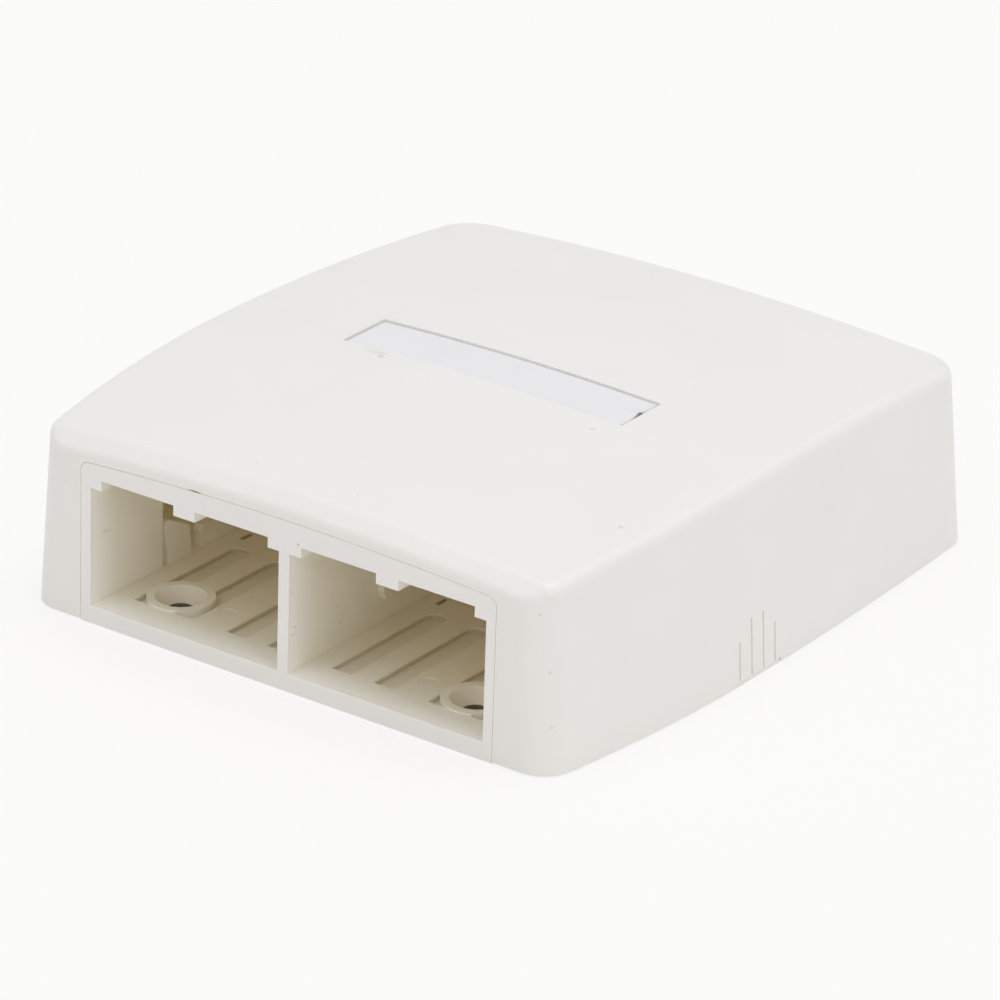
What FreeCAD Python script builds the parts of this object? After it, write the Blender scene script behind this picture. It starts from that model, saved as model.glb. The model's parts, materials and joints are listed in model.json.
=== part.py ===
import FreeCAD, Part
import os
import Sketcher
from FreeCAD import Placement, Rotation, Vector
from math import atan2, sqrt

# Surface mount jack box, millimetres and degrees.
# X runs along the front, Y to the back, Z up; the origin is under the middle of the box.
# Sub-parts: the base with its two jack bays, the crowned cover over it, and the label strip on top.

doc = FreeCAD.newDocument("surface_mount_jack_box")
sheet = doc.addObject("Spreadsheet::Sheet", "Sizes")

DRIVING_SIZES = [
    ("BoxWidth", 95.4, "width of the cover where its sides bow out most"),
    ("BoxDepth", 103.2, "front face to back face at the foot of the cover"),
    ("WidestPlace", -7.5, "where along Y the sides bow out most"),
    ("FrontBowRadius", 255.0, "plan radius of each side ahead of its widest place"),
    ("RearBowRadius", 850.0, "plan radius of each side behind its widest place"),
    ("FrontCornerRadius", 5.0, "plan radius of the front corners"),
    ("RearCornerRadius", 6.2, "plan radius of the rear corners"),
    ("SideDraft", 3.8, "lean of the sides, degrees"),
    ("RearDraft", 4.8, "lean of the back, degrees"),
    ("CrownHeight", 31.2, "height of the top at its middle"),
    ("CrownRadiusAcross", 500.0, "radius of the domed top from side to side"),
    ("CrownRadiusAlong", 481.0, "radius of the domed top from front to back"),
    ("CoverWall", 2.0, "wall of the cover"),
    ("CoverLift", 0.2, "the cover's foot above the table"),
    ("BevelFoot", 26.5, "height of the front bevel's lower edge at the middle"),
    ("BevelDepth", 2.2, "how far the front bevel runs back"),
    ("BevelRise", 2.2, "how far the front bevel rises"),
    ("RimRadius", 1.6, "rounding of the top edges"),
    ("RebateWall", 1.2, "cover wall left beside the base plate"),
    ("EdgeGap", 0.2, "clearance from the cover to the base plate"),
    ("SeamGap", 0.08, "clearance round the front frame"),
    ("FrameJamb", 1.625, "front frame's side beside a bay"),
    ("FrameHeight", 25.1, "height of the front frame at its middle"),
    ("FrameArchRadius", 500.0, "radius of the front frame's arched top"),
    ("FrameCornerRadius", 1.4, "rounding of the front frame's top corners"),
    ("FrameDepth", 3.0, "thickness of the front frame"),
    ("FrameEdge", 0.25, "rounding of the bays' front edges"),
    ("FloorTop", 2.65, "thickness of the base plate"),
    ("BayWidth", 32.3, "clear width of each jack bay, for two modules"),
    ("BayTop", 21.75, "underside of the frame's top rail"),
    ("TabBottom", 20.25, "underside of the catch tabs and corner blocks"),
    ("DividerWidth", 1.85, "wall between the bays"),
    ("DividerLength", 33.0, "front face to the divider's back end"),
    ("BayWallLength", 15.9, "front face to the back end of an outer bay wall"),
    ("BayWallTop", 22.6, "height of the bay walls"),
    ("CornerBlock", 1.9, "width of a corner block in a bay"),
    ("MiddleTab", 3.7, "width of the tab between two modules"),
    ("GrooveWidth", 3.4, "channels in the floor"),
    ("GroovePitch", 7.05, "between the two channels of one module"),
    ("GrooveShift", 0.55, "channels to the right of their module's middle"),
    ("GrooveFront", 5.3, "front face to the front end of the channels"),
    ("GrooveBack", 28.2, "front face to the round end of the channels"),
    ("GrooveCut", 0.8, "depth of the channels"),
    ("BossRadius", 4.85, "ring round a screw hole"),
    ("BossTop", 2.9, "height of the ring"),
    ("ScrewRow", 9.9, "front face to the screw holes"),
    ("ScrewHole", 3.8, "diameter of a screw hole"),
    ("ScrewSink", 7.3, "diameter of its countersink"),
    ("SinkAngle", 82.0, "angle of its countersink, degrees"),
    ("SlotWidth", 0.8, "catch slot in the floor"),
    ("SlotLength", 2.6, "catch slot in the floor"),
    ("SlotPlace", 31.7, "front face to the catch slots"),
    ("SlotShift", 5.5, "catch slot to the left of its module's middle"),
    ("ArmFront", 17.2, "front face to the first latch arm"),
    ("ArmLength", 5.3, "first latch arm along Y"),
    ("SecondArmLength", 8.0, "second latch arm along Y"),
    ("ArmGap", 2.4, "between the two latch arms"),
    ("ArmThickness", 1.4, "latch arm across"),
    ("ArmTop", 10.0, "height of the first latch arm at its front"),
    ("ArmFall", 2.8, "how far its top slopes down"),
    ("SecondArmTop", 5.9, "height of the second latch arm"),
    ("ArmLean", 0.14, "how far the latch arms lean to the front, of their height"),
    ("ArmCorner", 0.8, "rounding of the latch arms' top corners"),
    ("NibPlace", 20.9, "front face to the guide nib on the divider"),
    ("NibWidth", 1.2, "guide nib along Y"),
    ("NibOut", 1.0, "guide nib out of the divider's faces"),
    ("NibTip", 6.5, "height of the nib's pointed foot"),
    ("EjectorRadius", 1.4, "round ejector mark in each bay's floor"),
    ("EjectorDepth", 0.12, "depth of an ejector mark"),
    ("EjectorRow", 10.1, "front face to the ejector marks"),
    ("BreakoutPitch", 2.87, "between the score lines of a cable breakout"),
    ("BreakoutPlace", -7.3, "middle of a breakout along Y"),
    ("BreakoutTall", 9.2, "height of the two inner score lines"),
    ("BreakoutShort", 6.6, "height of the two outer score lines"),
    ("ScoreWidth", 0.35, "score line across"),
    ("ScoreDepth", 0.35, "score line into the wall"),
    ("NotchWidth", 11.6, "slot under a breakout"),
    ("NotchHeight", 0.8, "top of that slot"),
    ("LabelLength", 47.5, "label recess along X"),
    ("LabelWidth", 9.8, "label recess along Y"),
    ("LabelPlace", -2.6, "middle of the label recess along Y"),
    ("LabelDepth", 0.6, "depth of the label recess"),
    ("LabelGap", 0.15, "clearance round the label strip"),
    ("LabelThickness", 0.2, "label strip"),
    ("LabelBed", 0.05, "glue under the label strip"),
    ("ToolRoom", 6.0, "how far the cutting outlines run past what they cut"),
]
for row, (alias, number, note) in enumerate(DRIVING_SIZES, start=1):
    sheet.set(f"A{row}", note)
    sheet.set(f"B{row}", str(number))
    sheet.setAlias(f"B{row}", alias)
doc.recompute()


def value(expression):
    """The number that an expression over the sheet stands for."""
    return float(sheet.evalExpression(str(expression)))


# Places worked out from the driving sizes, as expressions that FreeCAD keeps up to date.
FRONT = "-Sizes.BoxDepth / 2"
REAR = "Sizes.BoxDepth / 2"
FRAME_HALF = "(Sizes.DividerWidth / 2 + Sizes.BayWidth + Sizes.FrameJamb)"
BAY_INNER = "Sizes.DividerWidth / 2"
BAY_OUTER = "(Sizes.DividerWidth / 2 + Sizes.BayWidth)"
BAY_MIDDLE = "(Sizes.DividerWidth / 2 + Sizes.BayWidth / 2)"
MODULE_INNER = "(Sizes.DividerWidth / 2 + Sizes.BayWidth / 4)"
MODULE_OUTER = "(Sizes.DividerWidth / 2 + Sizes.BayWidth * 3 / 4)"
PLATE_INSET = "(Sizes.RebateWall + Sizes.EdgeGap)"
CROWN_AXIS = "(Sizes.CrownHeight - Sizes.CrownRadiusAlong)"
TOOL_HEIGHT = "(Sizes.CrownHeight + Sizes.ToolRoom)"
TURN_ALONG = "2 * asin((Sizes.BoxDepth / 2 + Sizes.ToolRoom) / Sizes.CrownRadiusAlong)"
TURN_ACROSS = "2 * asin((Sizes.BoxWidth / 2 + Sizes.ToolRoom) / Sizes.CrownRadiusAcross)"
LABEL_TILT = "asin(-Sizes.LabelPlace / Sizes.CrownRadiusAlong)"
SAME = 0.001  # points closer than this are one


# ---------------------------------------------------------------- sketch helpers

def new_body(name):
    body = doc.addObject("PartDesign::Body", name)
    body.Label = name
    return body


def new_sketch(body, name, role):
    """A sketch on one of its body's own origin planes."""
    sketch = body.newObject("Sketcher::SketchObject", name)
    plane = next(item for item in body.Origin.OriginFeatures if item.Role == role)
    sketch.AttachmentSupport = [(plane, "")]
    sketch.MapMode = "FlatFace"
    return sketch


def lift(sketch, expression):
    """Moves a sketch along its own normal."""
    sketch.AttachmentOffset = Placement(Vector(0, 0, value(expression)), Rotation())
    sketch.setExpression("AttachmentOffset.Base.z", expression)


def bind(sketch, kind, *where, to):
    """Adds a size to a sketch and binds it to an expression."""
    index = sketch.addConstraint(Sketcher.Constraint(kind, *where, value(to)))
    sketch.setExpression(f"Constraints[{index}]", to)


def fix(sketch, kind, *where):
    sketch.addConstraint(Sketcher.Constraint(kind, *where))


def polygon(sketch, corners):
    """A closed outline of straight lines, each corner at a pair of expressions."""
    points = [Vector(value(x), value(y), 0) for x, y in corners]
    lines = []
    for start, end in zip(points, points[1:] + points[:1]):
        lines.append(sketch.addGeometry(Part.LineSegment(start, end)))
    for line, following in zip(lines, lines[1:] + lines[:1]):
        fix(sketch, "Coincident", line, 2, following, 1)
    for line, (x, y) in zip(lines, corners):
        bind(sketch, "DistanceX", line, 1, to=x)
        bind(sketch, "DistanceY", line, 1, to=y)
    return lines


def rectangle(sketch, left, right, bottom, top):
    polygon(sketch, [(left, bottom), (right, bottom), (right, top), (left, top)])


def circle(sketch, x, y, radius):
    centre = Vector(value(x), value(y), 0)
    ring = sketch.addGeometry(Part.Circle(centre, Vector(0, 0, 1), value(radius)))
    bind(sketch, "DistanceX", ring, 3, to=x)
    bind(sketch, "DistanceY", ring, 3, to=y)
    bind(sketch, "Radius", ring, to=radius)


def arc(centre, radius, start, end):
    """An arc geometry, counter-clockwise from the point start to the point end."""
    first = atan2(start.y - centre.y, start.x - centre.x)
    last = atan2(end.y - centre.y, end.x - centre.x)
    return Part.ArcOfCircle(Part.Circle(centre, Vector(0, 0, 1), radius), first, last)


def feature(body, kind, name, sketch, **properties):
    """A PartDesign feature of a sketch; properties given as text are bound as expressions."""
    item = body.newObject("PartDesign::" + kind, name)
    item.Profile = sketch
    sketch.Visibility = False
    for key, setting in properties.items():
        if isinstance(setting, str) and "Sizes." in setting:
            setattr(item, key, value(setting))
            item.setExpression(key, setting)
        else:
            setattr(item, key, setting)
    doc.recompute()
    return item


def mirrored(body, name, originals):
    """Copies features to the other side of the box."""
    item = body.newObject("PartDesign::Mirrored", name)
    item.Originals = originals
    plane = next(entry for entry in body.Origin.OriginFeatures if entry.Role == "YZ_Plane")
    item.MirrorPlane = (plane, [""])
    body.Tip = item
    doc.recompute()
    return item


def round_off(body, name, base, chosen, radius):
    """Rounds the edges of a feature whose end points pass a test."""
    item = body.newObject("PartDesign::Fillet", name)
    names = [f"Edge{number}" for number, edge in enumerate(base.Shape.Edges, start=1)
             if chosen([vertex.Point for vertex in edge.Vertexes])]
    item.Base = (base, names)
    item.setExpression("Radius", radius)
    doc.recompute()
    return item


# ---------------------------------------------------------------- shared forms

def plan_outline(sketch, height, inset):
    """The box's bowed plan at a height above the cover's foot, drawn in by an inset."""
    side_in = f"({height} * tan(Sizes.SideDraft * 1deg) + {inset})"
    rear_in = f"({height} * tan(Sizes.RearDraft * 1deg) + {inset})"
    half = f"Sizes.BoxWidth / 2 - {side_in}"
    front_y = f"{FRONT} + {inset}"
    rear_y = f"{REAR} - {rear_in}"
    front_bow = f"Sizes.FrontBowRadius - {inset}"
    rear_bow = f"Sizes.RearBowRadius - {inset}"
    front_corner = f"Sizes.FrontCornerRadius - {inset}"
    rear_corner = f"Sizes.RearCornerRadius - {inset}"

    widest = value("Sizes.WidestPlace")
    half_now = value(half)

    def corner(bow, radius, end_y, sign):
        """Centre of a corner arc, and where it meets the side's bow."""
        bow_centre = Vector(half_now - bow, widest, 0)
        y = end_y - sign * radius
        reach = bow - radius
        x = bow_centre.x + sqrt(reach ** 2 - (y - widest) ** 2)
        centre = Vector(x, y, 0)
        meet = centre + (centre - bow_centre).normalize() * radius
        return bow_centre, centre, meet

    front_now = value(front_y)
    rear_now = value(rear_y)
    r_front = value(front_corner)
    r_rear = value(rear_corner)
    front_centre, c_front, meet_front = corner(value(front_bow), r_front, front_now, -1)
    rear_centre, c_rear, meet_rear = corner(value(rear_bow), r_rear, rear_now, 1)
    start_front = Vector(c_front.x, front_now, 0)
    start_rear = Vector(c_rear.x, rear_now, 0)
    side = Vector(half_now, widest, 0)

    def flip(point):
        return Vector(-point.x, point.y, 0)

    add = sketch.addGeometry
    front = add(Part.LineSegment(flip(start_front), start_front))
    corner_fr = add(arc(c_front, r_front, start_front, meet_front))
    bow_fr = add(arc(front_centre, value(front_bow), meet_front, side))
    bow_rr = add(arc(rear_centre, value(rear_bow), side, meet_rear))
    corner_rr = add(arc(c_rear, r_rear, meet_rear, start_rear))
    rear = add(Part.LineSegment(start_rear, flip(start_rear)))
    corner_rl = add(arc(flip(c_rear), r_rear, flip(start_rear), flip(meet_rear)))
    bow_rl = add(arc(flip(rear_centre), value(rear_bow), flip(meet_rear), flip(side)))
    bow_fl = add(arc(flip(front_centre), value(front_bow), flip(side), flip(meet_front)))
    corner_fl = add(arc(flip(c_front), r_front, flip(meet_front), flip(start_front)))
    ring = [front, corner_fr, bow_fr, bow_rr, corner_rr, rear, corner_rl, bow_rl, bow_fl, corner_fl]
    for edge, following in zip(ring, ring[1:] + ring[:1]):
        fix(sketch, "Tangent", edge, 2, following, 1)
    fix(sketch, "Symmetric", front, 1, front, 2, -2)
    fix(sketch, "Symmetric", rear, 1, rear, 2, -2)
    fix(sketch, "Symmetric", bow_fr, 2, bow_fl, 1, -2)
    fix(sketch, "Equal", corner_fr, corner_fl)
    fix(sketch, "Equal", corner_rr, corner_rl)
    bind(sketch, "DistanceY", front, 1, to=front_y)
    bind(sketch, "DistanceY", rear, 1, to=rear_y)
    bind(sketch, "DistanceX", bow_fr, 2, to=half)
    bind(sketch, "DistanceY", bow_fr, 2, to="Sizes.WidestPlace")
    bind(sketch, "DistanceY", bow_fr, 3, to="Sizes.WidestPlace")
    bind(sketch, "DistanceY", bow_fl, 3, to="Sizes.WidestPlace")
    bind(sketch, "Radius", corner_fr, to=front_corner)
    bind(sketch, "Radius", corner_rr, to=rear_corner)
    bind(sketch, "Radius", bow_fr, to=front_bow)
    bind(sketch, "Radius", bow_rr, to=rear_bow)


def crown_frame(sketch, tilt=None):
    """Puts a sketch's own X axis on the axis that the domed top turns about."""
    if tilt:
        sketch.AttachmentOffset = Placement(Vector(), Rotation(Vector(1, 0, 0), value(tilt)))
        sketch.setExpression("AttachmentOffset.Rotation.Angle", tilt)
    sketch.setExpression("AttachmentOffset.Base.y", CROWN_AXIS)
    doc.recompute()


def arch(sketch, crest, radius, half_width):
    """An arch with its crest on the sketch's Y axis; gives the arc and its two ends."""
    half = value(half_width)
    centre = Vector(0, value(crest) - value(radius), 0)
    spring = centre.y + sqrt(value(radius) ** 2 - half ** 2)
    right = Vector(half, spring, 0)
    left = Vector(-half, spring, 0)
    bow = sketch.addGeometry(arc(centre, value(radius), right, left))
    fix(sketch, "PointOnObject", bow, 3, -2)
    bind(sketch, "DistanceY", bow, 3, to=f"{crest} - {radius}")
    bind(sketch, "Radius", bow, to=radius)
    return bow, right, left


def arch_with_lid(sketch, crest, radius, half_width, lid):
    """The region between an arch and a flat lid over or under it."""
    bow, right, left = arch(sketch, crest, radius, half_width)
    level = value(lid)
    up = sketch.addGeometry(Part.LineSegment(right, Vector(right.x, level, 0)))
    over = sketch.addGeometry(Part.LineSegment(Vector(right.x, level, 0), Vector(left.x, level, 0)))
    down = sketch.addGeometry(Part.LineSegment(Vector(left.x, level, 0), left))
    fix(sketch, "Coincident", bow, 1, up, 1)
    fix(sketch, "Coincident", up, 2, over, 1)
    fix(sketch, "Coincident", over, 2, down, 1)
    fix(sketch, "Coincident", down, 2, bow, 2)
    fix(sketch, "Vertical", up)
    fix(sketch, "Vertical", down)
    fix(sketch, "Horizontal", over)
    bind(sketch, "DistanceX", up, 2, to=half_width)
    bind(sketch, "DistanceX", over, 2, to=f"-{half_width}")
    bind(sketch, "DistanceY", over, 2, to=lid)


def arched_block(sketch, crest, radius, corner, half_width, foot):
    """The outline of the front frame: straight sides, rounded corners and an arched top."""
    half = value(half_width)
    r = value(corner)
    bow_radius = value(radius)
    centre = Vector(0, value(crest) - bow_radius, 0)
    reach = bow_radius - r
    corner_x = half - r
    corner_y = centre.y + sqrt(reach ** 2 - corner_x ** 2)
    turn = Vector(corner_x, corner_y, 0)
    meet = turn + (turn - centre).normalize() * r
    start = Vector(half, corner_y, 0)
    low = value(foot)
    flip_turn = Vector(-turn.x, turn.y, 0)
    flip_meet = Vector(-meet.x, meet.y, 0)
    flip_start = Vector(-start.x, start.y, 0)
    add = sketch.addGeometry
    bottom = add(Part.LineSegment(Vector(-half, low, 0), Vector(half, low, 0)))
    right = add(Part.LineSegment(Vector(half, low, 0), start))
    right_corner = add(arc(turn, r, start, meet))
    bow = add(arc(centre, bow_radius, meet, flip_meet))
    left_corner = add(arc(flip_turn, r, flip_meet, flip_start))
    left = add(Part.LineSegment(flip_start, Vector(-half, low, 0)))
    fix(sketch, "Coincident", bottom, 2, right, 1)
    fix(sketch, "Coincident", left, 2, bottom, 1)
    for edge, following in [(right, right_corner), (right_corner, bow), (bow, left_corner),
                            (left_corner, left)]:
        fix(sketch, "Tangent", edge, 2, following, 1)
    fix(sketch, "Vertical", right)
    fix(sketch, "Vertical", left)
    fix(sketch, "Equal", right_corner, left_corner)
    bind(sketch, "DistanceX", bottom, 1, to=f"-{half_width}")
    bind(sketch, "DistanceY", bottom, 1, to=foot)
    bind(sketch, "DistanceX", bottom, 2, to=half_width)
    bind(sketch, "DistanceY", bottom, 2, to=foot)
    bind(sketch, "Radius", right_corner, to=corner)
    bind(sketch, "Radius", bow, to=radius)
    bind(sketch, "DistanceY", bow, 3, to=f"{crest} - {radius}")


def arch_band(sketch, crest, radius, half_width, thickness):
    """A thin band that follows an arch."""
    low, right_low, left_low = arch(sketch, crest, radius, half_width)
    crest_high = f"({crest} + {thickness})"
    radius_high = f"({radius} + {thickness})"
    high, right_high, left_high = arch(sketch, crest_high, radius_high, half_width)
    right = sketch.addGeometry(Part.LineSegment(right_low, right_high))
    left = sketch.addGeometry(Part.LineSegment(left_high, left_low))
    fix(sketch, "Coincident", low, 1, right, 1)
    fix(sketch, "Coincident", right, 2, high, 1)
    fix(sketch, "Coincident", high, 2, left, 1)
    fix(sketch, "Coincident", left, 2, low, 2)
    fix(sketch, "Vertical", right)
    fix(sketch, "Vertical", left)
    bind(sketch, "DistanceX", right, 1, to=half_width)
    bind(sketch, "DistanceX", left, 2, to=f"-{half_width}")


def channel(sketch, x, front_y, back_y, width):
    """A straight channel with a square front end and a round back end."""
    half = f"{width} / 2"
    centre = Vector(value(x), value(f"{back_y} - {half}"), 0)
    r = value(half)
    low = value(front_y)
    across = Vector(r, 0, 0)
    front_left = Vector(centre.x - r, low, 0)
    front_right = Vector(centre.x + r, low, 0)
    add = sketch.addGeometry
    front = add(Part.LineSegment(front_left, front_right))
    right = add(Part.LineSegment(front_right, centre + across))
    end = add(arc(centre, r, centre + across, centre - across))
    left = add(Part.LineSegment(centre - across, front_left))
    fix(sketch, "Coincident", front, 2, right, 1)
    fix(sketch, "Tangent", right, 2, end, 1)
    fix(sketch, "Tangent", end, 2, left, 1)
    fix(sketch, "Coincident", left, 2, front, 1)
    fix(sketch, "Horizontal", front)
    fix(sketch, "Vertical", right)
    fix(sketch, "Vertical", left)
    bind(sketch, "DistanceX", end, 3, to=x)
    bind(sketch, "DistanceY", end, 3, to=f"{back_y} - {half}")
    bind(sketch, "Radius", end, to=half)
    bind(sketch, "DistanceY", front, 1, to=front_y)


def crowned_block(body, inset):
    """The box's drafted, bowed block under its domed top, drawn in all round by an inset."""
    foot = new_sketch(body, body.Name + "_foot", "XY_Plane")
    lift(foot, "Sizes.CoverLift")
    plan_outline(foot, "0", inset)
    head = new_sketch(body, body.Name + "_head", "XY_Plane")
    lift(head, f"Sizes.CoverLift + {TOOL_HEIGHT}")
    plan_outline(head, TOOL_HEIGHT, inset)
    feature(body, "AdditiveLoft", body.Name + "_block", foot, Sections=[head], Ruled=True)
    dome = new_sketch(body, body.Name + "_dome", "XZ_Plane")
    crown_frame(dome)
    crest = f"(Sizes.CrownRadiusAlong - {inset})"
    arch_with_lid(dome, crest, f"(Sizes.CrownRadiusAcross - {inset})",
                  "(Sizes.BoxWidth / 2 + Sizes.ToolRoom)", "Sizes.CrownRadiusAlong + 2 * Sizes.ToolRoom")
    return feature(body, "Groove", body.Name + "_crown", dome, ReferenceAxis=(dome, ["H_Axis"]),
                   Midplane=True, Angle=TURN_ALONG)


# ---------------------------------------------------------------- cover

def rim_edge(points):
    """True for an edge round the top of the cover: bevel, sides and back, not the uprights."""
    heights = [point.z for point in points]
    return (min(heights) > value("Sizes.BevelFoot - 2 * Sizes.BevelRise")
            and max(heights) - min(heights) < value("Sizes.CrownHeight / 2"))


def front_cutout(body):
    """The opening that the base's front frame fills, open at the foot."""
    outline = new_sketch(body, "cutout_outline", "XZ_Plane")
    lift(outline, "Sizes.BoxDepth / 2 + Sizes.ToolRoom")
    arched_block(outline, "(Sizes.FrameHeight + Sizes.SeamGap)",
                 "(Sizes.FrameArchRadius + Sizes.SeamGap)",
                 "(Sizes.FrameCornerRadius + Sizes.SeamGap)",
                 f"({FRAME_HALF} + Sizes.SeamGap)", "-Sizes.ToolRoom")
    feature(body, "Pocket", "front_cutout", outline, Length="Sizes.ToolRoom + 2 * Sizes.CoverWall")


def cable_breakouts(body):
    """Four score lines in each side wall, over a slot at its foot."""
    slots = new_sketch(body, "breakout_slots", "YZ_Plane")
    rectangle(slots, "Sizes.BreakoutPlace - Sizes.NotchWidth / 2",
              "Sizes.BreakoutPlace + Sizes.NotchWidth / 2", "-Sizes.ToolRoom", "Sizes.NotchHeight")
    feature(body, "Pocket", "breakout_notches", slots, Length="Sizes.BoxWidth + Sizes.ToolRoom",
            Midplane=True)

    scores = new_sketch(body, "score_outline", "YZ_Plane")
    lean = Rotation(Vector(1, 0, 0), -value("Sizes.SideDraft"))
    scores.AttachmentOffset = Placement(Vector(), lean)
    scores.setExpression("AttachmentOffset.Rotation.Angle", "-Sizes.SideDraft")
    scores.setExpression("AttachmentOffset.Base.y", "Sizes.CoverLift")
    scores.setExpression("AttachmentOffset.Base.z", "Sizes.BoxWidth / 2")
    doc.recompute()
    for steps, top in [(-1.5, "BreakoutShort"), (-0.5, "BreakoutTall"),
                       (0.5, "BreakoutTall"), (1.5, "BreakoutShort")]:
        middle = f"Sizes.BreakoutPlace + Sizes.BreakoutPitch * {steps}"
        rectangle(scores, f"{middle} - Sizes.ScoreWidth / 2", f"{middle} + Sizes.ScoreWidth / 2",
                  "0", f"Sizes.{top} - Sizes.CoverLift")
    cut = feature(body, "Pocket", "score_lines", scores, Length="Sizes.ScoreDepth")
    mirrored(body, "score_lines_left", [cut])


def label_recess(body):
    """A shallow recess whose floor runs parallel to the domed top."""
    outline = new_sketch(body, "label_recess_outline", "XZ_Plane")
    crown_frame(outline, LABEL_TILT)
    arch_with_lid(outline, "(Sizes.CrownRadiusAlong - Sizes.LabelDepth)",
                  "(Sizes.CrownRadiusAcross - Sizes.LabelDepth)", "(Sizes.LabelLength / 2)",
                  "Sizes.CrownRadiusAlong + Sizes.ToolRoom")
    feature(body, "Groove", "label_recess", outline, ReferenceAxis=(outline, ["H_Axis"]),
            Midplane=True, Angle="2 * asin(Sizes.LabelWidth / 2 / Sizes.CrownRadiusAlong)")


def make_cover():
    body = new_body("cover")
    crowned_block(body, "0")

    bevel = new_sketch(body, "bevel_outline", "YZ_Plane")
    bevel.setExpression("AttachmentOffset.Base.y", "Sizes.CrownHeight - Sizes.CrownRadiusAcross")
    doc.recompute()
    bevel_z = "Sizes.BevelFoot - Sizes.CrownHeight + Sizes.CrownRadiusAcross"
    foot_y = f"{FRONT} - Sizes.BevelDepth"
    foot_z = f"{bevel_z} - Sizes.BevelRise"
    reach = "(Sizes.CrownHeight - Sizes.BevelFoot + Sizes.ToolRoom)"
    head_y = f"{FRONT} + {reach} * Sizes.BevelDepth / Sizes.BevelRise"
    head_z = f"{bevel_z} + {reach}"
    polygon(bevel, [(foot_y, foot_z), (head_y, head_z), (foot_y, head_z)])
    cut = feature(body, "Groove", "front_bevel", bevel, ReferenceAxis=(bevel, ["H_Axis"]),
                  Midplane=True, Angle=TURN_ACROSS)

    round_off(body, "rim_rounding", cut, rim_edge, "Sizes.RimRadius")

    hollow = new_body("cover_hollow")
    crowned_block(hollow, "Sizes.CoverWall")
    scoop = body.newObject("PartDesign::Boolean", "inside")
    scoop.Type = "Cut"
    scoop.setObjects([hollow])
    doc.recompute()

    rebate = new_sketch(body, "rebate_outline", "XY_Plane")
    plan_outline(rebate, "0", "Sizes.RebateWall")
    feature(body, "Pocket", "rebate", rebate, Length="Sizes.FloorTop", Reversed=True)
    front_cutout(body)
    cable_breakouts(body)
    label_recess(body)
    return body


# ---------------------------------------------------------------- label strip

def make_label_strip():
    """A paper strip lying in the label recess, bent to the dome."""
    body = new_body("label_strip")
    outline = new_sketch(body, "label_outline", "XZ_Plane")
    crown_frame(outline, LABEL_TILT)
    arch_band(outline, "(Sizes.CrownRadiusAlong - Sizes.LabelDepth + Sizes.LabelBed)",
              "(Sizes.CrownRadiusAcross - Sizes.LabelDepth + Sizes.LabelBed)",
              "(Sizes.LabelLength / 2 - Sizes.LabelGap)", "Sizes.LabelThickness")
    feature(body, "Revolution", "label_band", outline, ReferenceAxis=(outline, ["H_Axis"]), Midplane=True,
            Angle="2 * asin((Sizes.LabelWidth / 2 - Sizes.LabelGap) / Sizes.CrownRadiusAlong)")
    return body


# ---------------------------------------------------------------- base

MODULES = [f"-{MODULE_OUTER}", f"-{MODULE_INNER}", MODULE_INNER, MODULE_OUTER]


def bay_outline(sketch, side):
    """One jack bay seen from the front, with its corner blocks and the tab between two modules."""
    inner = f"{side} * {BAY_INNER}"
    outer = f"{side} * {BAY_OUTER}"
    inner_block = f"{side} * ({BAY_INNER} + Sizes.CornerBlock)"
    outer_block = f"{side} * ({BAY_OUTER} - Sizes.CornerBlock)"
    tab_inner = f"{side} * ({BAY_MIDDLE} - Sizes.MiddleTab / 2)"
    tab_outer = f"{side} * ({BAY_MIDDLE} + Sizes.MiddleTab / 2)"
    floor = "Sizes.FloorTop"
    low = "Sizes.TabBottom"
    high = "Sizes.BayTop"
    polygon(sketch, [
        (inner, floor), (outer, floor), (outer, low), (outer_block, low), (outer_block, high),
        (tab_outer, high), (tab_outer, low), (tab_inner, low), (tab_inner, high),
        (inner_block, high), (inner_block, low), (inner, low),
    ])


def base_plate_and_frame(body):
    plate = new_sketch(body, "plate_outline", "XY_Plane")
    plan_outline(plate, "0", PLATE_INSET)
    feature(body, "Pad", "plate", plate, Length="Sizes.FloorTop")

    sill = new_sketch(body, "sill_outline", "XY_Plane")
    rectangle(sill, f"-{FRAME_HALF}", FRAME_HALF, FRONT, f"{FRONT} + {PLATE_INSET} + Sizes.FrameDepth")
    feature(body, "Pad", "sill", sill, Length="Sizes.FloorTop")

    frame = new_sketch(body, "frame_outline", "XZ_Plane")
    lift(frame, REAR)
    arched_block(frame, "Sizes.FrameHeight", "Sizes.FrameArchRadius", "Sizes.FrameCornerRadius",
                 FRAME_HALF, "0")
    feature(body, "Pad", "front_frame", frame, Length="Sizes.FrameDepth", Reversed=True)

    bays = new_sketch(body, "bay_outlines", "XZ_Plane")
    lift(bays, f"{REAR} + Sizes.ToolRoom")
    bay_outline(bays, 1)
    bay_outline(bays, -1)
    feature(body, "Pocket", "bays", bays, Length="Sizes.FrameDepth + Sizes.ToolRoom")


def bay_walls(body):
    walls = new_sketch(body, "wall_outlines", "XY_Plane")
    lift(walls, "Sizes.FloorTop")
    start = f"{FRONT} + Sizes.FrameDepth"
    rectangle(walls, f"-{BAY_INNER}", BAY_INNER, start, f"{FRONT} + Sizes.DividerLength")
    rectangle(walls, BAY_OUTER, FRAME_HALF, start, f"{FRONT} + Sizes.BayWallLength")
    rectangle(walls, f"-{FRAME_HALF}", f"-{BAY_OUTER}", start, f"{FRONT} + Sizes.BayWallLength")
    feature(body, "Pad", "bay_walls", walls, Length="Sizes.BayWallTop - Sizes.FloorTop")


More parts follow.
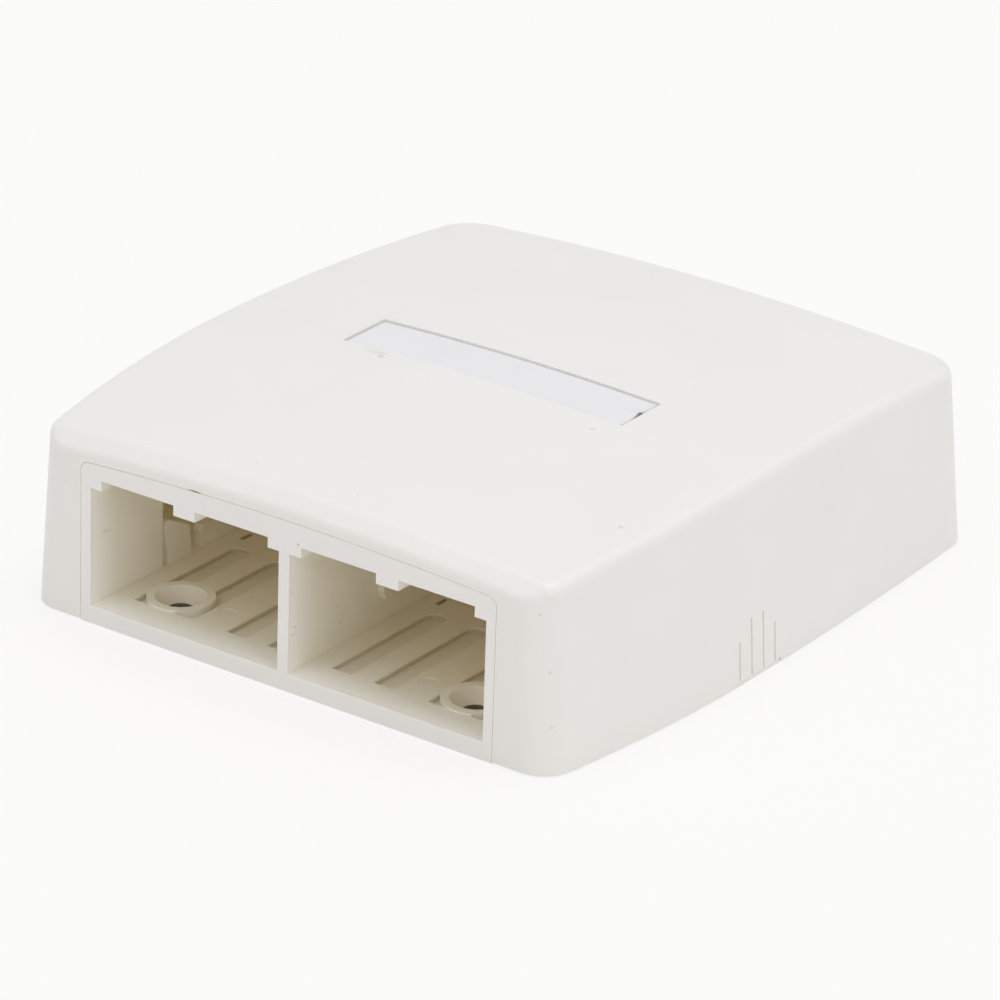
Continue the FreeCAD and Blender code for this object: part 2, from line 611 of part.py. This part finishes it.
def floor_channels(body):
    outlines = new_sketch(body, "channel_outlines", "XY_Plane")
    lift(outlines, "Sizes.FloorTop")
    for module in MODULES:
        for side in (-1, 1):
            channel(outlines, f"{module} + Sizes.GrooveShift + {side} * Sizes.GroovePitch / 2",
                    f"{FRONT} + Sizes.GrooveFront", f"{FRONT} + Sizes.GrooveBack", "Sizes.GrooveWidth")
    feature(body, "Pocket", "channels", outlines, Length="Sizes.GrooveCut")

    slots = new_sketch(body, "slot_outlines", "XY_Plane")
    lift(slots, "Sizes.FloorTop")
    for module in MODULES:
        middle = f"{module} - Sizes.SlotShift"
        rectangle(slots, f"{middle} - Sizes.SlotWidth / 2", f"{middle} + Sizes.SlotWidth / 2",
                  f"{FRONT} + Sizes.SlotPlace - Sizes.SlotLength / 2",
                  f"{FRONT} + Sizes.SlotPlace + Sizes.SlotLength / 2")
    feature(body, "Pocket", "catch_slots", slots, Length="Sizes.FloorTop")

    marks = new_sketch(body, "ejector_outlines", "XY_Plane")
    lift(marks, "Sizes.FloorTop")
    for middle in (BAY_MIDDLE, f"-{BAY_MIDDLE}"):
        circle(marks, middle, f"{FRONT} + Sizes.EjectorRow", "Sizes.EjectorRadius")
    feature(body, "Pocket", "ejector_marks", marks, Length="Sizes.EjectorDepth")


def screw_bosses(body):
    rings = new_sketch(body, "boss_outlines", "XY_Plane")
    circle(rings, MODULE_OUTER, f"{FRONT} + Sizes.ScrewRow", "Sizes.BossRadius")
    circle(rings, f"-{MODULE_OUTER}", f"{FRONT} + Sizes.ScrewRow", "Sizes.BossRadius")
    feature(body, "Pad", "bosses", rings, Length="Sizes.BossTop")

    centres = new_sketch(body, "hole_centres", "XY_Plane")
    lift(centres, "Sizes.BossTop")
    circle(centres, MODULE_OUTER, f"{FRONT} + Sizes.ScrewRow", "Sizes.ScrewHole / 2")
    circle(centres, f"-{MODULE_OUTER}", f"{FRONT} + Sizes.ScrewRow", "Sizes.ScrewHole / 2")
    hole = body.newObject("PartDesign::Hole", "screw_holes")
    hole.Profile = centres
    doc.recompute()
    hole.DepthType = "ThroughAll"
    hole.HoleCutType = "Countersink"
    hole.HoleCutCustomValues = True
    hole.setExpression("Diameter", "Sizes.ScrewHole")
    hole.setExpression("HoleCutDiameter", "Sizes.ScrewSink")
    hole.setExpression("HoleCutCountersinkAngle", "Sizes.SinkAngle")
    doc.recompute()


def latch_arms(body):
    """Two low sprung arms in line with each outer bay wall, leaning to the front."""
    outline = new_sketch(body, "arm_outlines", "YZ_Plane")
    lift(outline, BAY_OUTER)
    first = f"({FRONT} + Sizes.ArmFront)"
    second = f"({first} + Sizes.ArmLength + Sizes.ArmGap)"
    for start, length, front_top, back_top in [
            (first, "Sizes.ArmLength", "Sizes.ArmTop", "(Sizes.ArmTop - Sizes.ArmFall)"),
            (second, "Sizes.SecondArmLength", "Sizes.SecondArmTop", "Sizes.SecondArmTop")]:
        end = f"{start} + {length}"
        polygon(outline, [(start, "Sizes.FloorTop"), (end, "Sizes.FloorTop"),
                          (f"{end} - Sizes.ArmLean * ({back_top} - Sizes.FloorTop)", back_top),
                          (f"{start} - Sizes.ArmLean * ({front_top} - Sizes.FloorTop)", front_top)])
    arms = feature(body, "Pad", "latch_arms", outline, Length="Sizes.ArmThickness")
    both = mirrored(body, "latch_arms_left", [arms])
    round_off(body, "arm_rounding", both, arm_corner, "Sizes.ArmCorner")


def arm_corner(points):
    """True for an edge across the top of a latch arm, at its front or back."""
    first, last = points[0], points[-1]
    across = abs(first.x - last.x)
    return (abs(across - value("Sizes.ArmThickness")) < SAME and (first - last).Length - across < SAME
            and abs(first.x + last.x) / 2 > value(BAY_OUTER)
            and value("Sizes.SecondArmTop") - SAME < first.z < value("Sizes.ArmTop") + SAME
            and first.y > value(f"{FRONT} + Sizes.BayWallLength"))


def bay_front_edge(points):
    """True for an edge round a bay in the front face."""
    return (all(abs(point.y - value(FRONT)) < SAME for point in points)
            and all(value("Sizes.FloorTop") - SAME < point.z < value("Sizes.BayTop") + SAME
                    for point in points)
            and all(abs(point.x) < value(BAY_OUTER) + SAME for point in points))


def divider_nib(body):
    """A pointed guide rib on both faces of the divider."""
    outline = new_sketch(body, "nib_outline", "YZ_Plane")
    middle = f"({FRONT} + Sizes.NibPlace)"
    start = f"{middle} - Sizes.NibWidth / 2"
    end = f"{middle} + Sizes.NibWidth / 2"
    shoulder = "Sizes.NibTip + Sizes.NibWidth"
    polygon(outline, [(start, shoulder), (middle, "Sizes.NibTip"), (end, shoulder),
                      (end, "Sizes.BayWallTop"), (start, "Sizes.BayWallTop")])
    nib = feature(body, "Pad", "guide_nib", outline, Length="Sizes.DividerWidth + 2 * Sizes.NibOut",
                  Midplane=True)
    round_off(body, "bay_edge_rounding", nib, bay_front_edge, "Sizes.FrameEdge")


def make_base():
    body = new_body("base")
    base_plate_and_frame(body)
    bay_walls(body)
    floor_channels(body)
    screw_bosses(body)
    latch_arms(body)
    divider_nib(body)
    return body


# ---------------------------------------------------------------- build and write

PARTS = [make_base(), make_cover(), make_label_strip()]
doc.recompute()

for item in doc.Objects:
    if "Invalid" in item.State or "Error" in item.State:
        raise RuntimeError(f"{item.Name} did not build: {item.State}")
os.makedirs("parts", exist_ok=True)
for part in PARTS:
    shape = part.Shape
    if shape.isNull() or not shape.isValid() or len(shape.Solids) != 1:
        raise RuntimeError(f"{part.Label} is not one valid solid")
    shape.exportStep(f"parts/{part.Label}.step")
    print(part.Label, round(shape.Volume), "mm3", len(shape.Faces), "faces")
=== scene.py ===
import json
import math

import bmesh
import bpy
from mathutils import Matrix, Vector
from mathutils.bvhtree import BVHTree


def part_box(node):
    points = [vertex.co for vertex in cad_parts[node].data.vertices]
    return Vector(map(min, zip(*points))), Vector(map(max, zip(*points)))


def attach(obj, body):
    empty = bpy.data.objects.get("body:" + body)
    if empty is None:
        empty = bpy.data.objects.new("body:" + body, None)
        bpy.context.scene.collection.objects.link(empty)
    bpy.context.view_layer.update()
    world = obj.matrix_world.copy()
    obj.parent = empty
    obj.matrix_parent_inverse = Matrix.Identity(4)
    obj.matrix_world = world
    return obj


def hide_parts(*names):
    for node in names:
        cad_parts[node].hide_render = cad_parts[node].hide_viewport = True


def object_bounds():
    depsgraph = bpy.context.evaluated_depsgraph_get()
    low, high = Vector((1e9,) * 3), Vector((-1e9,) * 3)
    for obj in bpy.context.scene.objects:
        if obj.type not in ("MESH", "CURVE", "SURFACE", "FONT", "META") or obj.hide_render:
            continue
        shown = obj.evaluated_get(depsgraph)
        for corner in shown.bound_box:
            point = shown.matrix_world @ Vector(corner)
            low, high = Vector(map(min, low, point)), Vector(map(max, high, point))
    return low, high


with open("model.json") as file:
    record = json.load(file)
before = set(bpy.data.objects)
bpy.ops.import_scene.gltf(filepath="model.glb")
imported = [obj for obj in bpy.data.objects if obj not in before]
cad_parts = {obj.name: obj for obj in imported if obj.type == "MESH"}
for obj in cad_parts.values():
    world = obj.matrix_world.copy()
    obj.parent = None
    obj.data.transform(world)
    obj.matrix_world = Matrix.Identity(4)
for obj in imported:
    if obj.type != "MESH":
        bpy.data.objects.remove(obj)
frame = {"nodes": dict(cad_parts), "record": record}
CAD_LOW, CAD_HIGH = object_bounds()

MM = 0.001
nodes = frame["nodes"]
FRONT = CAD_LOW.y


def within(node, shares):
    """The point at three shares, from 0 to 1, of a CAD node's box."""
    low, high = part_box(node)
    return Vector(near + (far - near) * share for near, far, share in zip(low, high, shares))


def level_faces(node, up_to):
    """Heights of a node's level faces below a height, the largest area first."""
    area = {}
    for face in nodes[node].data.polygons:
        if face.normal.z > 0.999 and face.center.z < up_to:
            height = round(face.center.z, 5)
            area[height] = area.get(height, 0.0) + face.area
    return sorted(area, key=area.get, reverse=True)


HIGHEST_FLOOR = 6 * MM
FLOOR_TOP, CHANNEL_FLOOR = level_faces("base", HIGHEST_FLOOR)[:2]
SCREWS = next(mount for mount in frame["record"]["mounts"] if mount["name"] == "screw_holes")

# ---------------------------------------------------------------- node helpers


def linear(red, green, blue):
    """A display colour from 0 to 255 as Blender's linear RGBA."""
    def one(level):
        level /= 255
        return level / 12.92 if level <= 0.04045 else ((level + 0.055) / 1.055) ** 2.4
    return one(red), one(green), one(blue), 1.0


class Nodes:
    """Short calls for building the node tree of a material or a world."""

    def __init__(self, owner, output="ShaderNodeOutputMaterial"):
        self.owner = owner
        owner.use_nodes = True
        self.tree = owner.node_tree
        self.tree.nodes.clear()
        self.output = self.add(output)

    def add(self, kind, inputs=None, **settings):
        node = self.tree.nodes.new(kind)
        for key, setting in settings.items():
            setattr(node, key, setting)
        for key, given in (inputs or {}).items():
            self.put(given, node.inputs[key])
        return node

    def put(self, given, socket):
        if isinstance(given, bpy.types.NodeSocket):
            self.tree.links.new(given, socket)
        elif isinstance(given, bpy.types.Node):
            self.tree.links.new(given.outputs[0], socket)
        else:
            socket.default_value = given

    def math(self, operation, first, second=0.0, third=0.0, clamp=False):
        node = self.add("ShaderNodeMath", operation=operation, use_clamp=clamp)
        for socket, given in zip(node.inputs, (first, second, third)):
            self.put(given, socket)
        return node.outputs[0]

    def noise(self, place, scale, detail=3.0, roughness=0.5):
        return self.add("ShaderNodeTexNoise", {"Vector": place, "Scale": scale, "Detail": detail,
                                               "Roughness": roughness}).outputs["Fac"]

    def remap(self, given, low, high, to_low, to_high, smooth=False):
        node = self.add("ShaderNodeMapRange", {"Value": given, "From Min": low, "From Max": high,
                                               "To Min": to_low, "To Max": to_high})
        if smooth:
            node.interpolation_type = "SMOOTHSTEP"
        return node.outputs["Result"]

    def mix(self, factor, first, second, blend="MIX"):
        node = self.add("ShaderNodeMix", data_type="RGBA", blend_type=blend)
        self.put(factor, node.inputs["Factor"])
        self.put(first, node.inputs[6])
        self.put(second, node.inputs[7])
        return node.outputs[2]

    def vector(self, operation, first, second):
        return self.add("ShaderNodeVectorMath", {0: first, 1: second}, operation=operation)

    def near(self, place, centre, radii):
        """1 inside an ellipsoid, fading to 0 at its surface."""
        offset = self.vector("SUBTRACT", place, tuple(centre))
        scaled = self.vector("DIVIDE", offset.outputs[0], radii)
        length = self.add("ShaderNodeVectorMath", {0: scaled.outputs[0]}, operation="LENGTH")
        return self.remap(length.outputs["Value"], 0.45, 1.0, 1.0, 0.0, smooth=True)

    def object_place(self):
        return self.add("ShaderNodeTexCoord").outputs["Object"]

    def split(self, place):
        parts = self.add("ShaderNodeSeparateXYZ", {"Vector": place}).outputs
        return parts["X"], parts["Y"], parts["Z"]

    def ring_distance(self, x, y):
        """Distance, seen from above, to the nearer screw hole."""
        half = SCREWS["dims"]["spacing_x_mm"] / 2 * MM
        across = self.math("SUBTRACT", self.math("ABSOLUTE", x), half)
        along = self.math("SUBTRACT", y, SCREWS["pos_m"][1])
        return self.math("SQRT", self.math("ADD", self.math("MULTIPLY", across, across),
                                           self.math("MULTIPLY", along, along)))

    def finish(self, shader):
        self.put(shader, self.output.inputs["Surface"])
        return self.owner


# ---------------------------------------------------------------- materials

# Of the light that meets the cover's wall, the part that goes into it and the part that comes out inside.
OUTER_SHARE, INNER_SHARE = 0.012, 0.245
# The colour of dust specks and scuffs, and of the painted shade in the seam's open gap.
DUST_AND_SEAM_SHADE = linear(150, 146, 132)


def inside_cover(n, place):
    """1 on the faces that look towards the middle of the box, 0 outside and in the label's recess."""
    middle, recess_foot = (0, 0, 12 * MM), CAD_HIGH.z - 1.7 * MM
    outwards = n.vector("SUBTRACT", place, middle).outputs[0]
    facing = n.vector("DOT_PRODUCT", outwards, n.add("ShaderNodeNewGeometry").outputs["True Normal"])
    below_recess = n.math("LESS_THAN", n.split(place)[2], recess_foot)
    return n.math("MULTIPLY", n.math("LESS_THAN", facing.outputs["Value"], 0.0), below_recess)


def clear_of_sides(n, place):
    """1 over the middle of the box, falling to a third at its side walls, which stand behind the arms."""
    across = n.math("ABSOLUTE", n.split(place)[0])
    return n.remap(across, CAD_HIGH.x - 8 * MM, CAD_HIGH.x - 4 * MM, 1.0, 0.3)


def behind_front(n, place):
    """0 on the base's front face, 1 from just behind it."""
    return n.remap(n.split(place)[1], FRONT + 0.2 * MM, FRONT + 0.6 * MM, 0.0, 1.0)


def channel_shade(n, place):
    """Painted shade in the floor's channels: more on their walls than on their floors, and 0 elsewhere."""
    ring_radius, on_floor, on_wall = 4.95 * MM, 0.22, 0.8
    x, y, z = n.split(place)
    wall = n.remap(z, CHANNEL_FLOOR + 0.01 * MM, CHANNEL_FLOOR + 0.05 * MM, on_floor, on_wall)
    below = n.remap(z, FLOOR_TOP - 0.3 * MM, FLOOR_TOP - 0.15 * MM, 1.0, 0.0)
    above = n.math("GREATER_THAN", z, CHANNEL_FLOOR - 0.1 * MM)
    away = n.math("GREATER_THAN", n.ring_distance(x, y), ring_radius)
    back = n.math("GREATER_THAN", y, FRONT + 4 * MM)
    share = n.math("MULTIPLY", wall, below)
    for part in (above, away, back):
        share = n.math("MULTIPLY", share, part)
    return share


def screw_bore_shade(n, place):
    """1 on the deep walls of the screw holes, which get painted shade."""
    x, y, _ = n.split(place)
    reach = (SCREWS["dims"]["hole_r_mm"] + 0.02) * MM
    return n.math("LESS_THAN", n.ring_distance(x, y), reach)


def mouth_painted_light(n, place):
    """Painted light: 1 at the mouths of the bays, falling to 0 a few millimetres in."""
    return n.remap(n.split(place)[1], FRONT, FRONT + 7 * MM, 1.0, 0.0, smooth=True)


def bay_floor_shade(n, place):
    """Painted shade: 1 on the bays' floor further in, 0 on their walls."""
    x, y, z = n.split(place)
    low = n.math("LESS_THAN", z, FLOOR_TOP + 0.1 * MM)
    return n.math("MULTIPLY", low, n.remap(y, FRONT + 3 * MM, FRONT + 12 * MM, 0.0, 1.0, smooth=True))


def moulded_plastic(name, outer, inner, is_inner, seed, dust, pitch, marks=(), painted_light_and_shade=(), thin=None):
    """Off-white moulded ABS: a fine satin grain, faint flow clouds, a few dust specks and scuffs, and the
    painted light and shade given to it as marks and tints.
    A thin shell lets some light through, which comes out warmer on its inner side; the inner faces also get
    a warmer copy of the colour, painted warm light of the box's inside."""
    n = Nodes(bpy.data.materials.new(name))
    place = n.object_place()
    inside = is_inner(n, place)
    shifted = n.add("ShaderNodeMapping", {"Vector": place, "Location": (seed, seed * 0.7, seed * 0.3)})
    clouds = n.noise(shifted, 45.0, detail=4.0, roughness=0.55)
    grain = n.noise(shifted, 2600.0, detail=2.0, roughness=0.6)
    patches = n.noise(shifted, 160.0, detail=3.0)
    cloudy = n.remap(clouds, 0.32, 0.68, 0.0, 1.0)
    # Inner faces take the warmer inner colour: painted warm light inside the box.
    colour = n.mix(inside, n.mix(cloudy, *outer), n.mix(cloudy, *inner))
    # Painted light and shade on the inner faces, where given.
    for share, tint, blend in painted_light_and_shade:
        colour = n.mix(n.math("MULTIPLY", share(n, place), inside), colour, tint, blend=blend)
    # Dust specks: the cores of a share of the cells of a Voronoi pattern, whose cells are a pitch apart.
    cells = n.add("ShaderNodeTexVoronoi", {"Vector": shifted, "Scale": 1.0 / pitch})
    core = n.remap(cells.outputs["Distance"], 0.15 * MM / pitch, 0.30 * MM / pitch, 1.0, 0.0, smooth=True)
    picked = n.math("GREATER_THAN", n.add("ShaderNodeSeparateColor",
                                          {"Color": cells.outputs["Color"]}).outputs[0], 1.0 - dust)
    colour = n.mix(n.math("MULTIPLY", n.math("MULTIPLY", core, picked), 0.4), colour, DUST_AND_SEAM_SHADE)
    # Scuffs, and at the seam a painted shade, in the colour of dust.
    for shares, radii, strength in marks:
        spot = n.near(place, within("cover", shares), [radius * MM for radius in radii])
        colour = n.mix(n.math("MULTIPLY", spot, strength), colour, DUST_AND_SEAM_SHADE)
    roughness = n.remap(patches, 0.3, 0.7, 0.34, 0.44)
    height = n.math("MULTIPLY_ADD", grain, 0.6, n.math("MULTIPLY", patches, 0.8))
    bump = n.add("ShaderNodeBump", {"Height": height, "Strength": 0.12, "Distance": 0.02 * MM})
    shader = n.add("ShaderNodeBsdfPrincipled", {
        "Base Color": colour, "Roughness": roughness, "Normal": bump.outputs[0],
        "IOR": 1.53, "Specular IOR Level": 0.42,
    })
    if thin:
        through = n.add("ShaderNodeBsdfTranslucent", {"Color": thin})
        inner_share = n.math("MULTIPLY", clear_of_sides(n, place), INNER_SHARE)
        share = n.remap(inside, 0.0, 1.0, OUTER_SHARE, inner_share)
        shader = n.add("ShaderNodeMixShader", {0: share, 1: shader, 2: through})
    return n.finish(shader)


def label_paper():
    """Cool white label stock with short paper fibres."""
    n = Nodes(bpy.data.materials.new("label_paper_white"))
    place = n.object_place()
    stretched = n.add("ShaderNodeMapping", {"Vector": place, "Scale": (1.0, 2.6, 1.0)})
    fibres = n.noise(stretched, 1500.0, detail=5.0, roughness=0.65)
    mottle = n.noise(place, 140.0, detail=3.0)
    colour = n.mix(n.remap(mottle, 0.3, 0.7, 0.0, 1.0), linear(237, 236, 238), linear(234, 233, 236))
    colour = n.mix(n.remap(fibres, 0.55, 0.75, 0.0, 0.25), colour, linear(224, 223, 226))
    bump = n.add("ShaderNodeBump", {"Height": fibres, "Strength": 0.25, "Distance": 0.03 * MM})
    shader = n.add("ShaderNodeBsdfPrincipled", {
        "Base Color": colour, "Roughness": n.remap(fibres, 0.3, 0.7, 0.55, 0.68),
        "Normal": bump.outputs[0], "Specular IOR Level": 0.3,
    })
    return n.finish(shader)


def dress(node, material):
    """Puts a material in every slot of a CAD node."""
    for slot in nodes[node].material_slots:
        slot.material = material


OUTER_PLASTIC = linear(244, 242, 239), linear(242, 240, 237)
# The inner colour is a warmer copy of the plastic: painted warm light of the box's inside.
INNER_PLASTIC_PAINTED_WARM = linear(247, 244, 234), linear(245, 242, 230)

# Scuffs, specks and a painted seam shade: place in shares of the cover's box, radii in millimetres,
# strength.
# Painted shade: a dark dash along the seam, where it stands a little open.
SEAM_GAP_SHADE = ((0.341, 0.0, 0.799), (1.5, 0.5, 0.16), 1.0)
COVER_MARKS = [
    ((0.403, 0.058, 0.927), (0.32, 0.32, 0.6), 0.22),
    ((0.579, 0.059, 0.929), (0.28, 0.28, 0.6), 0.18),
    ((0.921, 0.198, 0.915), (0.50, 0.35, 0.8), 0.25),
    ((0.931, 0.010, 0.741), (0.30, 0.6, 0.30), 0.16),
    ((0.945, 0.017, 0.475), (0.34, 0.6, 0.34), 0.14),
    ((0.951, 0.017, 0.223), (0.30, 0.6, 0.30), 0.16),
    ((0.107, 0.0, 0.634), (0.24, 0.8, 0.24), 0.16),
    ((0.336, 0.409, 0.990), (0.60, 0.55, 0.8), 0.30),
    ((0.322, 0.418, 0.989), (2.50, 0.75, 0.8), 0.14),
    ((0.724, 0.394, 0.982), (0.60, 0.55, 0.8), 0.18),
    SEAM_GAP_SHADE,
]
WALL_SPECK = (0.50, 0.24, 0.24), 0.32
BASE_MARKS = [
    ((0.510, 0.006, 0.466), *WALL_SPECK),
    ((0.510, 0.095, 0.334), *WALL_SPECK),
    ((0.510, 0.110, 0.277), *WALL_SPECK),
    ((0.510, 0.015, 0.287), *WALL_SPECK),
    ((0.510, 0.011, 0.253), *WALL_SPECK),
    ((0.510, 0.115, 0.188), *WALL_SPECK),
    ((0.152, 0.033, 0.403), (0.60, 0.9, 0.35), 0.15),
    SEAM_GAP_SHADE,
]

dress("cover", moulded_plastic("cover_plastic_satin", OUTER_PLASTIC, INNER_PLASTIC_PAINTED_WARM, inside_cover, 0.0,
                               dust=0.05, pitch=10.5 * MM, marks=COVER_MARKS, thin=(1.0, 0.88, 0.62, 1)))
dress("base", moulded_plastic("base_plastic_satin", OUTER_PLASTIC, INNER_PLASTIC_PAINTED_WARM, behind_front, 3.1,
                              dust=0.09, pitch=2.5 * MM, marks=BASE_MARKS,
                              # Painted shade, slightly warm, on the bays' floor further in.
                              painted_light_and_shade=[(bay_floor_shade, linear(250, 247, 243), "MULTIPLY"),
                                     # Painted shade in the floor's channels.
                                     (channel_shade, linear(214, 211, 200), "MULTIPLY"),
                                     # Painted shade on the screw holes' deep walls.
                                     (screw_bore_shade, linear(150, 146, 136), "MULTIPLY"),
                                     # Painted light at the bays' mouths.
                                     (mouth_painted_light, linear(253, 253, 247), "MIX")]))
TONGUE_PLASTIC = moulded_plastic("tongue_plastic_satin", OUTER_PLASTIC, OUTER_PLASTIC, behind_front, 5.2,
                                 dust=0.0, pitch=10.5 * MM)

# ---------------------------------------------------------------- label


def label_sheet():
    """The label as a real strip of paper, bent to the dome, its right end a little short and curling."""
    low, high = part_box("label_strip")
    across, along = 96, 24
    thickness, end_gap, inset, raised = 0.2 * MM, 0.3 * MM, 0.02 * MM, 0.06 * MM
    curl_height, curl_length, curl_width = 0.60 * MM, 4.5 * MM, 1.05 * MM
    curl_y, end = (low.y + high.y) / 2, high.x - end_gap
    flat = nodes["label_strip"]
    tree = BVHTree.FromPolygons([vertex.co for vertex in flat.data.vertices],
                                [list(face.vertices) for face in flat.data.polygons])
    mesh = bmesh.new()
    rows = []
    for j in range(along + 1):
        y = low.y + inset + (high.y - low.y - 2 * inset) * j / along
        row = []
        for i in range(across + 1):
            x = low.x + inset + (end - low.x - inset) * i / across
            top = tree.ray_cast(Vector((x, y, high.z + thickness)), Vector((0, 0, -1)))[0]
            near_end = max(0.0, 1.0 - (end - x) / curl_length)
            curl = curl_height * near_end ** 2.2 * math.exp(-((y - curl_y) / curl_width) ** 2)
            row.append(mesh.verts.new((x, y, top.z + raised + curl)))
        rows.append(row)
    for lower, upper in zip(rows, rows[1:]):
        for i in range(across):
            mesh.faces.new((lower[i], lower[i + 1], upper[i + 1], upper[i])).smooth = True
    data = bpy.data.meshes.new("label_sheet")
    mesh.to_mesh(data)
    mesh.free()
    sheet = bpy.data.objects.new("label_sheet", data)
    bpy.context.scene.collection.objects.link(sheet)
    solid = sheet.modifiers.new("paper", "SOLIDIFY")
    solid.thickness = thickness
    solid.offset = -1.0
    data.materials.append(label_paper())
    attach(sheet, "cover")
    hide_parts("label_strip")


label_sheet()

# ---------------------------------------------------------------- cable breakouts


def breakout_tongue(name, side):
    """The base's edge in the slot under a cable breakout: a tongue a little back from the wall's face."""
    play, setback, rooted, lowest, highest = 0.1 * MM, 0.22 * MM, 0.2 * MM, 0.6 * MM, 1.0 * MM
    cover = nodes["cover"].data
    ceilings = [face for face in cover.polygons
                if face.normal.z < -0.999 and lowest < face.center.z < highest and face.center.x * side > 0]
    slot = [cover.vertices[index].co for face in ceilings for index in face.vertices]
    outer = max(abs(corner.x) for corner in slot) - setback
    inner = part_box("base")[1].x - rooted
    front, rear = min(corner.y for corner in slot) + play, max(corner.y for corner in slot) - play
    foot, top = CAD_LOW.z, slot[0].z - play / 2
    bpy.ops.mesh.primitive_cube_add(size=1.0)
    tongue = bpy.context.active_object
    tongue.name = name
    spans = Vector((outer - inner, rear - front, top - foot))
    centre = Vector((side * (outer + inner) / 2, (front + rear) / 2, (foot + top) / 2))
    tongue.data.transform(Matrix.Translation(centre) @ Matrix.Diagonal((*spans, 1.0)))
    tongue.data.materials.append(TONGUE_PLASTIC)
    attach(tongue, "base")


breakout_tongue("breakout_tongue_right", 1)
breakout_tongue("breakout_tongue_left", -1)

# ---------------------------------------------------------------- room

FLOOR_SIZE = 30.0

bpy.ops.mesh.primitive_plane_add(size=FLOOR_SIZE, location=(0, 0, 0))
floor = bpy.context.active_object
floor.name = "floor"


def beside_box(n):
    """0 under the box, where the floor only shows through the screw holes and is painted dark as shadow,
    and 1 elsewhere.
    """
    x, y, _ = n.split(n.object_place())
    aside = n.math("GREATER_THAN", n.math("ABSOLUTE", x), CAD_HIGH.x - 6 * MM)
    ahead = n.math("GREATER_THAN", n.math("ABSOLUTE", y), CAD_HIGH.y - 6 * MM)
    return n.math("MAXIMUM", aside, ahead)


def white_to_the_eye(n, shader, lit=0.25):
    """Mostly plain white where the camera, a gloss or a glass ray sees it, as the shader is elsewhere."""
    path = n.add("ShaderNodeLightPath")
    seen = n.math("MAXIMUM", path.outputs["Is Camera Ray"],
                  n.math("MAXIMUM", path.outputs["Is Glossy Ray"], path.outputs["Is Transmission Ray"]))
    share = n.math("MULTIPLY", beside_box(n), 1.0 - lit)
    white = n.add("ShaderNodeEmission", {"Color": (1, 1, 1, 1), "Strength": 1.0})
    mixed = n.add("ShaderNodeMixShader", {0: n.math("MULTIPLY", seen, share), 1: shader, 2: white})
    return mixed.outputs[0]


pale = Nodes(bpy.data.materials.new("floor_pale"))
# Painted shadow: under the box the floor is near black, beside it pale.
under = pale.mix(beside_box(pale), (0.02, 0.02, 0.018, 1), (0.90, 0.885, 0.865, 1))
matt = pale.add("ShaderNodeBsdfDiffuse", {"Color": under})
floor.data.materials.append(pale.finish(white_to_the_eye(pale, matt.outputs[0])))

sky = Nodes(bpy.data.worlds.new("studio"), "ShaderNodeOutputWorld")
path = sky.add("ShaderNodeLightPath")
seen = sky.math("MAXIMUM", path.outputs["Is Camera Ray"], path.outputs["Is Transmission Ray"])
light = sky.add("ShaderNodeBackground", {"Color": (1, 1, 1, 1), "Strength": 0.62})
white = sky.add("ShaderNodeBackground", {"Color": (1, 1, 1, 1), "Strength": 1.0})
bpy.context.scene.world = sky.finish(sky.add("ShaderNodeMixShader", {0: seen, 1: light, 2: white}))


def soft_lamp(name, place, aim, size, watts, colour):
    """A round area lamp that looks at a point."""
    lamp = bpy.data.lights.new(name, "AREA")
    lamp.color = colour
    lamp.shape = "DISK"
    lamp.size = size
    lamp.energy = watts
    item = bpy.data.objects.new(name, lamp)
    item.location = place
    item.rotation_euler = (Vector(aim) - Vector(place)).to_track_quat("-Z", "Y").to_euler()
    bpy.context.scene.collection.objects.link(item)


soft_lamp("top_softbox", (0.15, 0.1, 1.6), (0, 0, 0), 1.4, 9.0, (0.975, 0.985, 1.0))
soft_lamp("right_softbox", (1.45, -0.5, 0.5), (0, 0, 0.01), 0.9, 2.3, (1.0, 0.98, 0.965))
soft_lamp("front_softbox", (-0.7, -1.0, 1.2), (0, 0, 0.01), 1.0, 1.6, (1.0, 0.985, 0.97))

# ---------------------------------------------------------------- camera

AIM = Vector((-0.0011573, 0.0, 0.0098044))
AZIMUTH, ELEVATION, ROLL = math.radians(34.933), math.radians(24.175), math.radians(1.889)
RANGE = 0.825314

camera = bpy.data.objects.new("camera", bpy.data.cameras.new("camera"))
bpy.context.scene.collection.objects.link(camera)
camera.data.sensor_width = 36.0
camera.data.lens = 211.18
camera.data.clip_start, camera.data.clip_end = 0.05, 50.0
back = Vector((math.sin(AZIMUTH) * math.cos(ELEVATION), -math.cos(AZIMUTH) * math.cos(ELEVATION),
               math.sin(ELEVATION)))
camera.location = AIM + back * RANGE
level = (-back).to_track_quat("-Z", "Y").to_matrix()
camera.rotation_euler = (level @ Matrix.Rotation(ROLL, 3, "Z")).to_euler()
bpy.context.scene.camera = camera

scene = bpy.context.scene
scene.view_settings.view_transform = "Standard"
scene.cycles.diffuse_bounces = 12
scene.cycles.max_bounces = 16
